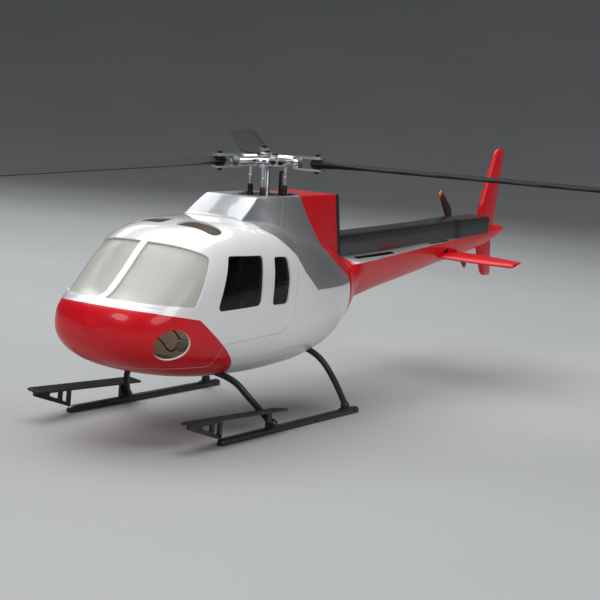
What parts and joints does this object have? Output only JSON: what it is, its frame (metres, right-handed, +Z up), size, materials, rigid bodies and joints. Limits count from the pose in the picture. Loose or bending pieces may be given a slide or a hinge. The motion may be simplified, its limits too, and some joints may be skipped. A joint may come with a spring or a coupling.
{
  "type": "remote control helicopter",
  "caption": "Remote control scale helicopter with a cabin body, leaning rotor head, folding blades, skids, slide-off canopy and tail rotor.",
  "frame": {"origin": "centre line of the flat belly hatch, on its underside, below the rotor mast", "axes": "+X towards the nose, +Y to the left side, +Z up; the mast leans 4.2 degrees forward"},
  "size_m": [1.1372, 0.7954, 0.312],
  "materials": {
    "white_body": "gloss moulded shell, white with red nose and silver cowl",
    "red_body": "gloss red paint on moulded glass fibre",
    "boom_cover_black": "gloss black",
    "windshield_glazing": "lightly smoked clear sheet",
    "roof_window_glazing": "brown tinted sheet",
    "lamp_metal": "satin",
    "gear_black": "satin black",
    "carbon_plate": "woven carbon, satin clear coat",
    "head_alloy": "polished machined",
    "steel": "ground steel",
    "gear_nylon": "natural nylon",
    "battery_wrap": "red shrink wrap",
    "blade_carbon": "carbon weave under clear coat",
    "bolt_black": "black oxide",
    "servo_case": "satin dark case",
    "link_plastic": "satin black"
  },
  "bodies": {
    "airframe": {"fuselage_shell": "white_body", "belly_hatch": "white_body", "tail_boom_fairing": "red_body", "upper_fin": "red_body", "lower_fin": "red_body", "horizontal_stabilizer": "red_body", "boom_top_cover": "boom_cover_black", "front_cross_tube": "gear_black", "rear_cross_tube": "gear_black", "skid_left": "gear_black", "skid_right": "gear_black", "step_left": "gear_black", "step_right": "gear_black", "anti_rotation_guide": "gear_black", "frame_left": "carbon_plate", "frame_right": "carbon_plate", "tail_boom_tube": "carbon_plate", "bearing_block": "head_alloy", "tail_gearbox": "head_alloy", "motor": "steel", "battery": "battery_wrap", "servo_left": "servo_case", "servo_right": "servo_case", "servo_rear": "servo_case", "tail_servo": "servo_case"},
    "canopy": {"canopy_shell": "white_body", "windshield": "windshield_glazing", "side_glazing_left": "windshield_glazing", "side_glazing_right": "windshield_glazing", "roof_glazing": "roof_window_glazing", "landing_light_left": "lamp_metal", "landing_light_right": "lamp_metal"},
    "main_rotor": {"main_shaft": "steel", "main_gear": "gear_nylon", "rotor_hub": "head_alloy"},
    "motor_shaft": {"motor_pinion": "steel"},
    "swash_fixed": {"swash_outer": "head_alloy", "swash_rod_left": "link_plastic", "swash_rod_right": "link_plastic", "swash_rod_rear": "link_plastic"},
    "swash_turning": {"swash_inner": "head_alloy", "pitch_link_1": "head_alloy", "pitch_link_2": "head_alloy", "pitch_link_3": "head_alloy"},
    "horn_left": {"servo_horn_left": "link_plastic"},
    "horn_right": {"servo_horn_right": "link_plastic"},
    "horn_rear": {"servo_horn_rear": "link_plastic"},
    "tail_rotor": {"tail_shaft": "steel"},
    "tail_pitch_link": {"tail_pitch_slider": "link_plastic"},
    "tail_paddle_1": {"tail_blade_1": "link_plastic"},
    "tail_paddle_2": {"tail_blade_2": "link_plastic"},
    "grip_1": {"blade_grip_1": "head_alloy"},
    "blade_1": {"main_blade_1": "blade_carbon", "blade_bolt_1": "bolt_black"},
    "grip_2": {"blade_grip_2": "head_alloy"},
    "blade_2": {"main_blade_2": "blade_carbon", "blade_bolt_2": "bolt_black"},
    "grip_3": {"blade_grip_3": "head_alloy"},
    "blade_3": {"main_blade_3": "blade_carbon", "blade_bolt_3": "bolt_black"}
  },
  "joints": [
    {"name": "canopy_slide", "type": "slide", "parent": "airframe", "child": "canopy", "axis": [1, 0, 0], "range_m": [0, 0.26]},
    {"name": "main_rotor_spin", "type": "hinge", "parent": "airframe", "child": "main_rotor", "pos_m": [0, 0, 0.1465], "axis": [0.0732, 0, 0.9973], "continuous": true},
    {"name": "motor_spin", "type": "hinge", "parent": "airframe", "child": "motor_shaft", "pos_m": [0.03899, 0, 0.08347], "axis": [0.0732, 0, 0.9973], "continuous": true},
    {"name": "collective_slide", "type": "slide", "parent": "airframe", "child": "swash_fixed", "axis": [0.0732, 0, 0.9973], "range_m": [-0.0045, 0.0045]},
    {"name": "swash_spin", "type": "hinge", "parent": "swash_fixed", "child": "swash_turning", "pos_m": [0, 0, 0.1465], "axis": [0.0732, 0, 0.9973], "continuous": true},
    {"name": "blade_pitch_1", "type": "hinge", "parent": "main_rotor", "child": "grip_1", "pos_m": [0.00598, 0, 0.22798], "axis": [0.9111, -0.4067, -0.0669], "range_deg": [-12, 12]},
    {"name": "blade_fold_1", "type": "hinge", "parent": "grip_1", "child": "blade_1", "pos_m": [0.06247, -0.02522, 0.22383], "axis": [0.0732, 0, 0.9973], "range_deg": [-60, 60]},
    {"name": "blade_pitch_2", "type": "hinge", "parent": "main_rotor", "child": "grip_2", "pos_m": [0.00598, 0, 0.22798], "axis": [-0.1042, 0.9945, 0.0077], "range_deg": [-12, 12]},
    {"name": "blade_fold_2", "type": "hinge", "parent": "grip_2", "child": "blade_2", "pos_m": [-0.00048, 0.06166, 0.22845], "axis": [0.0732, 0, 0.9973], "range_deg": [-60, 60]},
    {"name": "blade_pitch_3", "type": "hinge", "parent": "main_rotor", "child": "grip_3", "pos_m": [0.00598, 0, 0.22798], "axis": [-0.8068, -0.5878, 0.0593], "range_deg": [-12, 12]},
    {"name": "blade_fold_3", "type": "hinge", "parent": "grip_3", "child": "blade_3", "pos_m": [-0.04404, -0.03644, 0.23165], "axis": [0.0732, 0, 0.9973], "range_deg": [-60, 60]},
    {"name": "servo_left_turn", "type": "hinge", "parent": "airframe", "child": "horn_left", "pos_m": [0.0007, 0.024, 0.14244], "axis": [0, 1, 0], "range_deg": [-18.5, 18.5]},
    {"name": "servo_right_turn", "type": "hinge", "parent": "airframe", "child": "horn_right", "pos_m": [0.0007, -0.024, 0.14244], "axis": [0, 1, 0], "range_deg": [-18.5, 18.5]},
    {"name": "servo_rear_turn", "type": "hinge", "parent": "airframe", "child": "horn_rear", "pos_m": [-0.04318, 0.004, 0.14566], "axis": [0, 1, 0], "range_deg": [-18.5, 18.5]},
    {"name": "tail_rotor_spin", "type": "hinge", "parent": "airframe", "child": "tail_rotor", "pos_m": [-0.58304, -0.038, 0.13317], "axis": [0, 1, 0], "continuous": true},
    {"name": "tail_pitch_slide", "type": "slide", "parent": "tail_rotor", "child": "tail_pitch_link", "axis": [0, 1, 0], "range_m": [-0.0025, 0.0025]},
    {"name": "tail_blade_pitch_1", "type": "hinge", "parent": "tail_rotor", "child": "tail_paddle_1", "pos_m": [-0.58304, -0.038, 0.13317], "axis": [0.7071, 0, 0.7071], "range_deg": [-17, 17]},
    {"name": "tail_blade_pitch_2", "type": "hinge", "parent": "tail_rotor", "child": "tail_paddle_2", "pos_m": [-0.58304, -0.038, 0.13317], "axis": [-0.7071, 0, -0.7071], "range_deg": [-17, 17]}
  ],
  "couplings": [
    {"joint": "motor_spin", "follows": "main_rotor_spin", "ratio": -7.3077},
    {"joint": "swash_spin", "follows": "main_rotor_spin", "ratio": 1},
    {"joint": "blade_pitch_1", "follows": "collective_slide", "rad_per_m": -45.872},
    {"joint": "blade_pitch_2", "follows": "collective_slide", "rad_per_m": -45.872},
    {"joint": "blade_pitch_3", "follows": "collective_slide", "rad_per_m": -45.872},
    {"joint": "servo_left_turn", "follows": "collective_slide", "rad_per_m": -71.429},
    {"joint": "servo_right_turn", "follows": "collective_slide", "rad_per_m": -71.429},
    {"joint": "servo_rear_turn", "follows": "collective_slide", "rad_per_m": -71.429},
    {"joint": "tail_rotor_spin", "follows": "main_rotor_spin", "ratio": 4.6},
    {"joint": "tail_blade_pitch_1", "follows": "tail_pitch_slide", "rad_per_m": 116.28},
    {"joint": "tail_blade_pitch_2", "follows": "tail_pitch_slide", "rad_per_m": 116.28}
  ]
}
